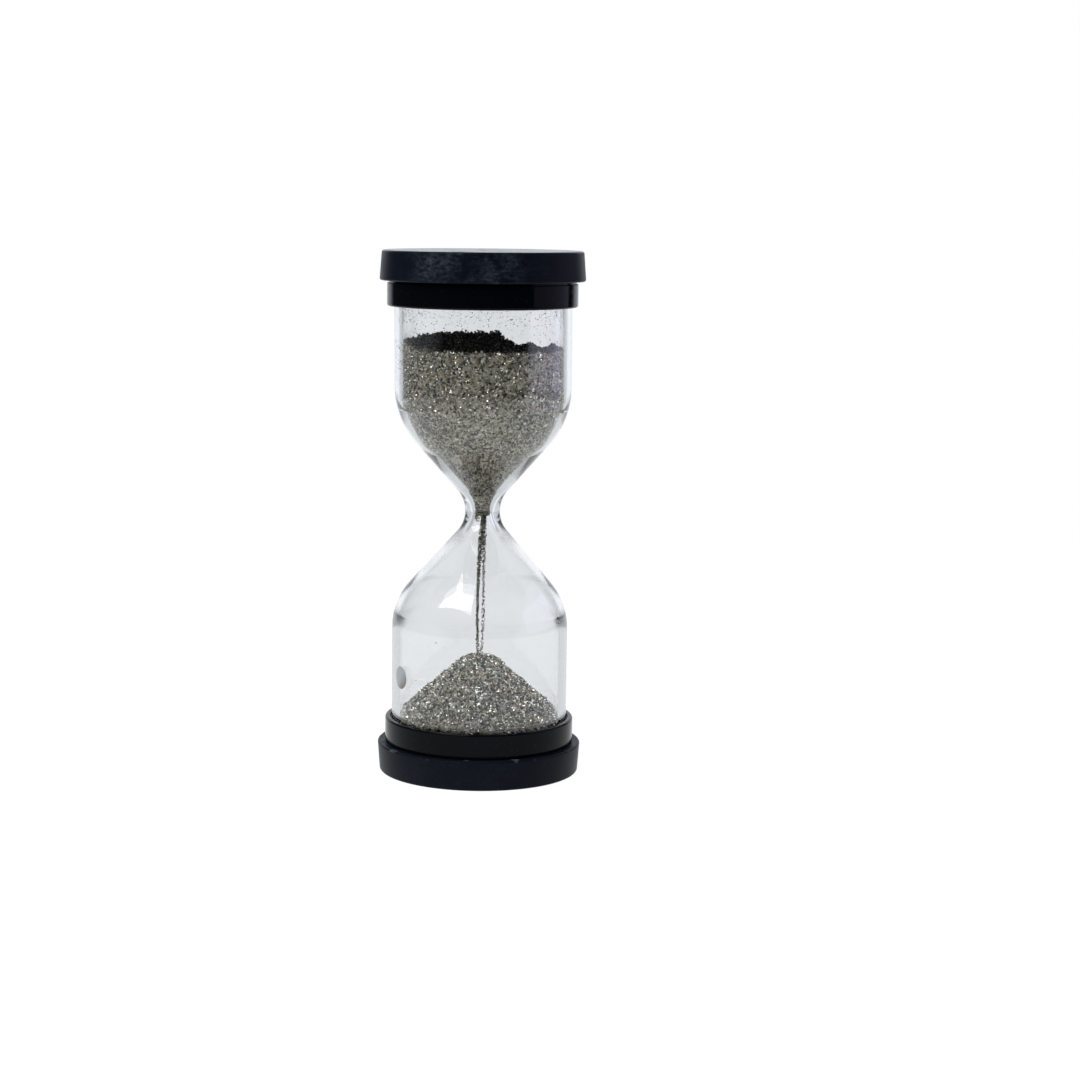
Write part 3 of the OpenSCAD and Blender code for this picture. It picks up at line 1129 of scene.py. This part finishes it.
def make_world(scene):
    """A studio that is pale behind the object and overhead and dim in front, for light and reflections.
    Seen directly it is plain white. Seen through the clear walls it is plain, and dimmer at the sides."""
    world = bpy.data.worlds.new("studio")
    scene.world = world
    scene.view_settings.view_transform = "Standard"
    paint = Paint(world)
    x, y, z = paint.axes(paint.add("ShaderNodeTexCoord", output="Generated"))
    diffuse, glossy, passed, straight = paint.light_path(
        "Diffuse Depth", "Glossy Depth", "Transmission Depth", "Is Camera Ray"
    )
    # a ray that gathers light or a reflection, one seen through clear walls, and one that went right through
    # the vial and was reflected once on its way
    lit = (diffuse + glossy) > 0.5
    through = (passed > 0.5) * (diffuse < 0.5)
    glint = (passed > 3.5) * (glossy > 0.5) * (glossy < 1.5) * (diffuse < 0.5)
    behind = y / (x * x + y * y).math("SQRT")
    backdrop = behind.step(0.7, 0.84) * (1 - z.step(0.8, 0.95))
    above = z.step(0.35, 0.75)
    level = (0.02 + backdrop + 0.4 * above).math("MINIMUM", 1.0)
    level = level + glint * (0.16 + 1.6 * z.step(0.35, 0.7))
    studio = paint.add(
        "ShaderNodeVectorMath", {"operation": "SCALE"}, {0: (0.95, 1.0, 1.08), "Scale": level}
    )
    aside = paint.mix(x.apart(0, 0.45, 0.6), (1.06, 1.06, 1.06), (0.72, 0.74, 0.76))
    plain = paint.mix(straight, aside, WHITE)
    reflected_back = through * (1 - glint) * y.step(-0.6, -0.2)
    seen = paint.mix(lit * (1 - 0.75 * reflected_back), plain, studio)
    background = paint.tree.nodes["Background"]
    paint.put(background.inputs["Color"], seen)


def add_light(name, centre, facing, size, radiance, shade):
    """A soft upright rectangular light at centre. facing is the level direction it faces, in degrees from
    -Y towards +X, and radiance is how bright it looks."""
    turn = math.radians(facing)
    out = Vector((-math.sin(turn), math.cos(turn), 0))
    light = bpy.data.lights.new(name, "AREA")
    light.shape = "RECTANGLE"
    light.size, light.size_y = size
    light.energy = radiance * math.pi * size[0] * size[1]
    light.color = shade
    lamp = bpy.data.objects.new(name, light)
    lamp.matrix_world = Matrix.Translation(centre) @ out.to_track_quat("Z", "Y").to_matrix().to_4x4()
    bpy.context.scene.collection.objects.link(lamp)
    return lamp


def make_lights():
    """A tall window in front on the left, a small bluish one on the right and a fill from the left that
    no gloss or clear wall shows."""
    add_light("key_window", (-0.49, -0.49, 1.21), 148, (0.75, 1.18), 4.0, (1.0, 0.99, 0.97))
    add_light("side_window", (0.6, 0.047, 0.22), -90, (0.706, 0.4), 0.85, (0.74, 0.71, 1.0))
    fill = add_light("left_fill", (-0.9, -0.15, 0.6), 97, (0.8, 0.7), 4.2, (1.0, 0.97, 0.9))
    fill.visible_glossy = False
    fill.visible_transmission = False


def make_camera(scene):
    """A long lens that looks slightly down at the middle of the object and leans a little to one side."""
    distance, height = 0.439, 0.1054
    lean = 0.0094
    view = bpy.data.cameras.new("camera")
    view.sensor_width = 36
    view.lens = 79.77
    view.shift_x = 0.0549
    view.shift_y = -0.0254
    view.clip_start, view.clip_end = 0.01, 20
    eye = Vector((0, -distance, height))
    forward = (Vector((0, 0, TOP / 2)) - eye).normalized()
    right = Vector((1, 0, 0))
    up = right.cross(forward)
    tilted_right = math.cos(lean) * right + math.sin(lean) * up
    tilted_up = math.cos(lean) * up - math.sin(lean) * right
    camera = bpy.data.objects.new("camera", view)
    turn = Matrix((tilted_right, tilted_up, -forward)).transposed()
    camera.matrix_world = Matrix.Translation(eye) @ turn.to_4x4()
    scene.collection.objects.link(camera)
    scene.camera = camera


class HOURGLASS_PT_panel(bpy.types.Panel):
    """Lists the pieces of the hourglass"""

    bl_idname = "HOURGLASS_PT_panel"
    bl_label = "Hourglass"
    bl_space_type = "VIEW_3D"
    bl_region_type = "UI"
    bl_category = "Hourglass"

    def draw(self, context):
        for operator in OPERATORS:
            self.layout.operator(operator.bl_idname)


OPERATORS = (
    HOURGLASS_OT_end_caps,
    HOURGLASS_OT_collars,
    HOURGLASS_OT_bulbs,
    HOURGLASS_OT_closures,
    HOURGLASS_OT_orifice_disc,
    HOURGLASS_OT_upper_sand,
    HOURGLASS_OT_lower_sand,
    HOURGLASS_OT_sand_stream,
    HOURGLASS_OT_clinging_grains,
    HOURGLASS_OT_sealant_drop,
    HOURGLASS_OT_stage,
)
SETTINGS = {
    "hourglass_bulb": BulbSettings,
    "hourglass_caps": CapSettings,
    "hourglass_sand": SandSettings,
}


def register():
    for cls in (*SETTINGS.values(), *OPERATORS, HOURGLASS_PT_panel):
        bpy.utils.register_class(cls)
    for name, cls in SETTINGS.items():
        setattr(bpy.types.Scene, name, bpy.props.PointerProperty(type=cls))


def unregister():
    for name in SETTINGS:
        delattr(bpy.types.Scene, name)
    for cls in (HOURGLASS_PT_panel, *reversed(OPERATORS), *reversed(SETTINGS.values())):
        bpy.utils.unregister_class(cls)


def main():
    register()
    for operator in OPERATORS:
        group, name = operator.bl_idname.split(".")
        getattr(getattr(bpy.ops, group), name)()


if __name__ == "__main__":
    main()
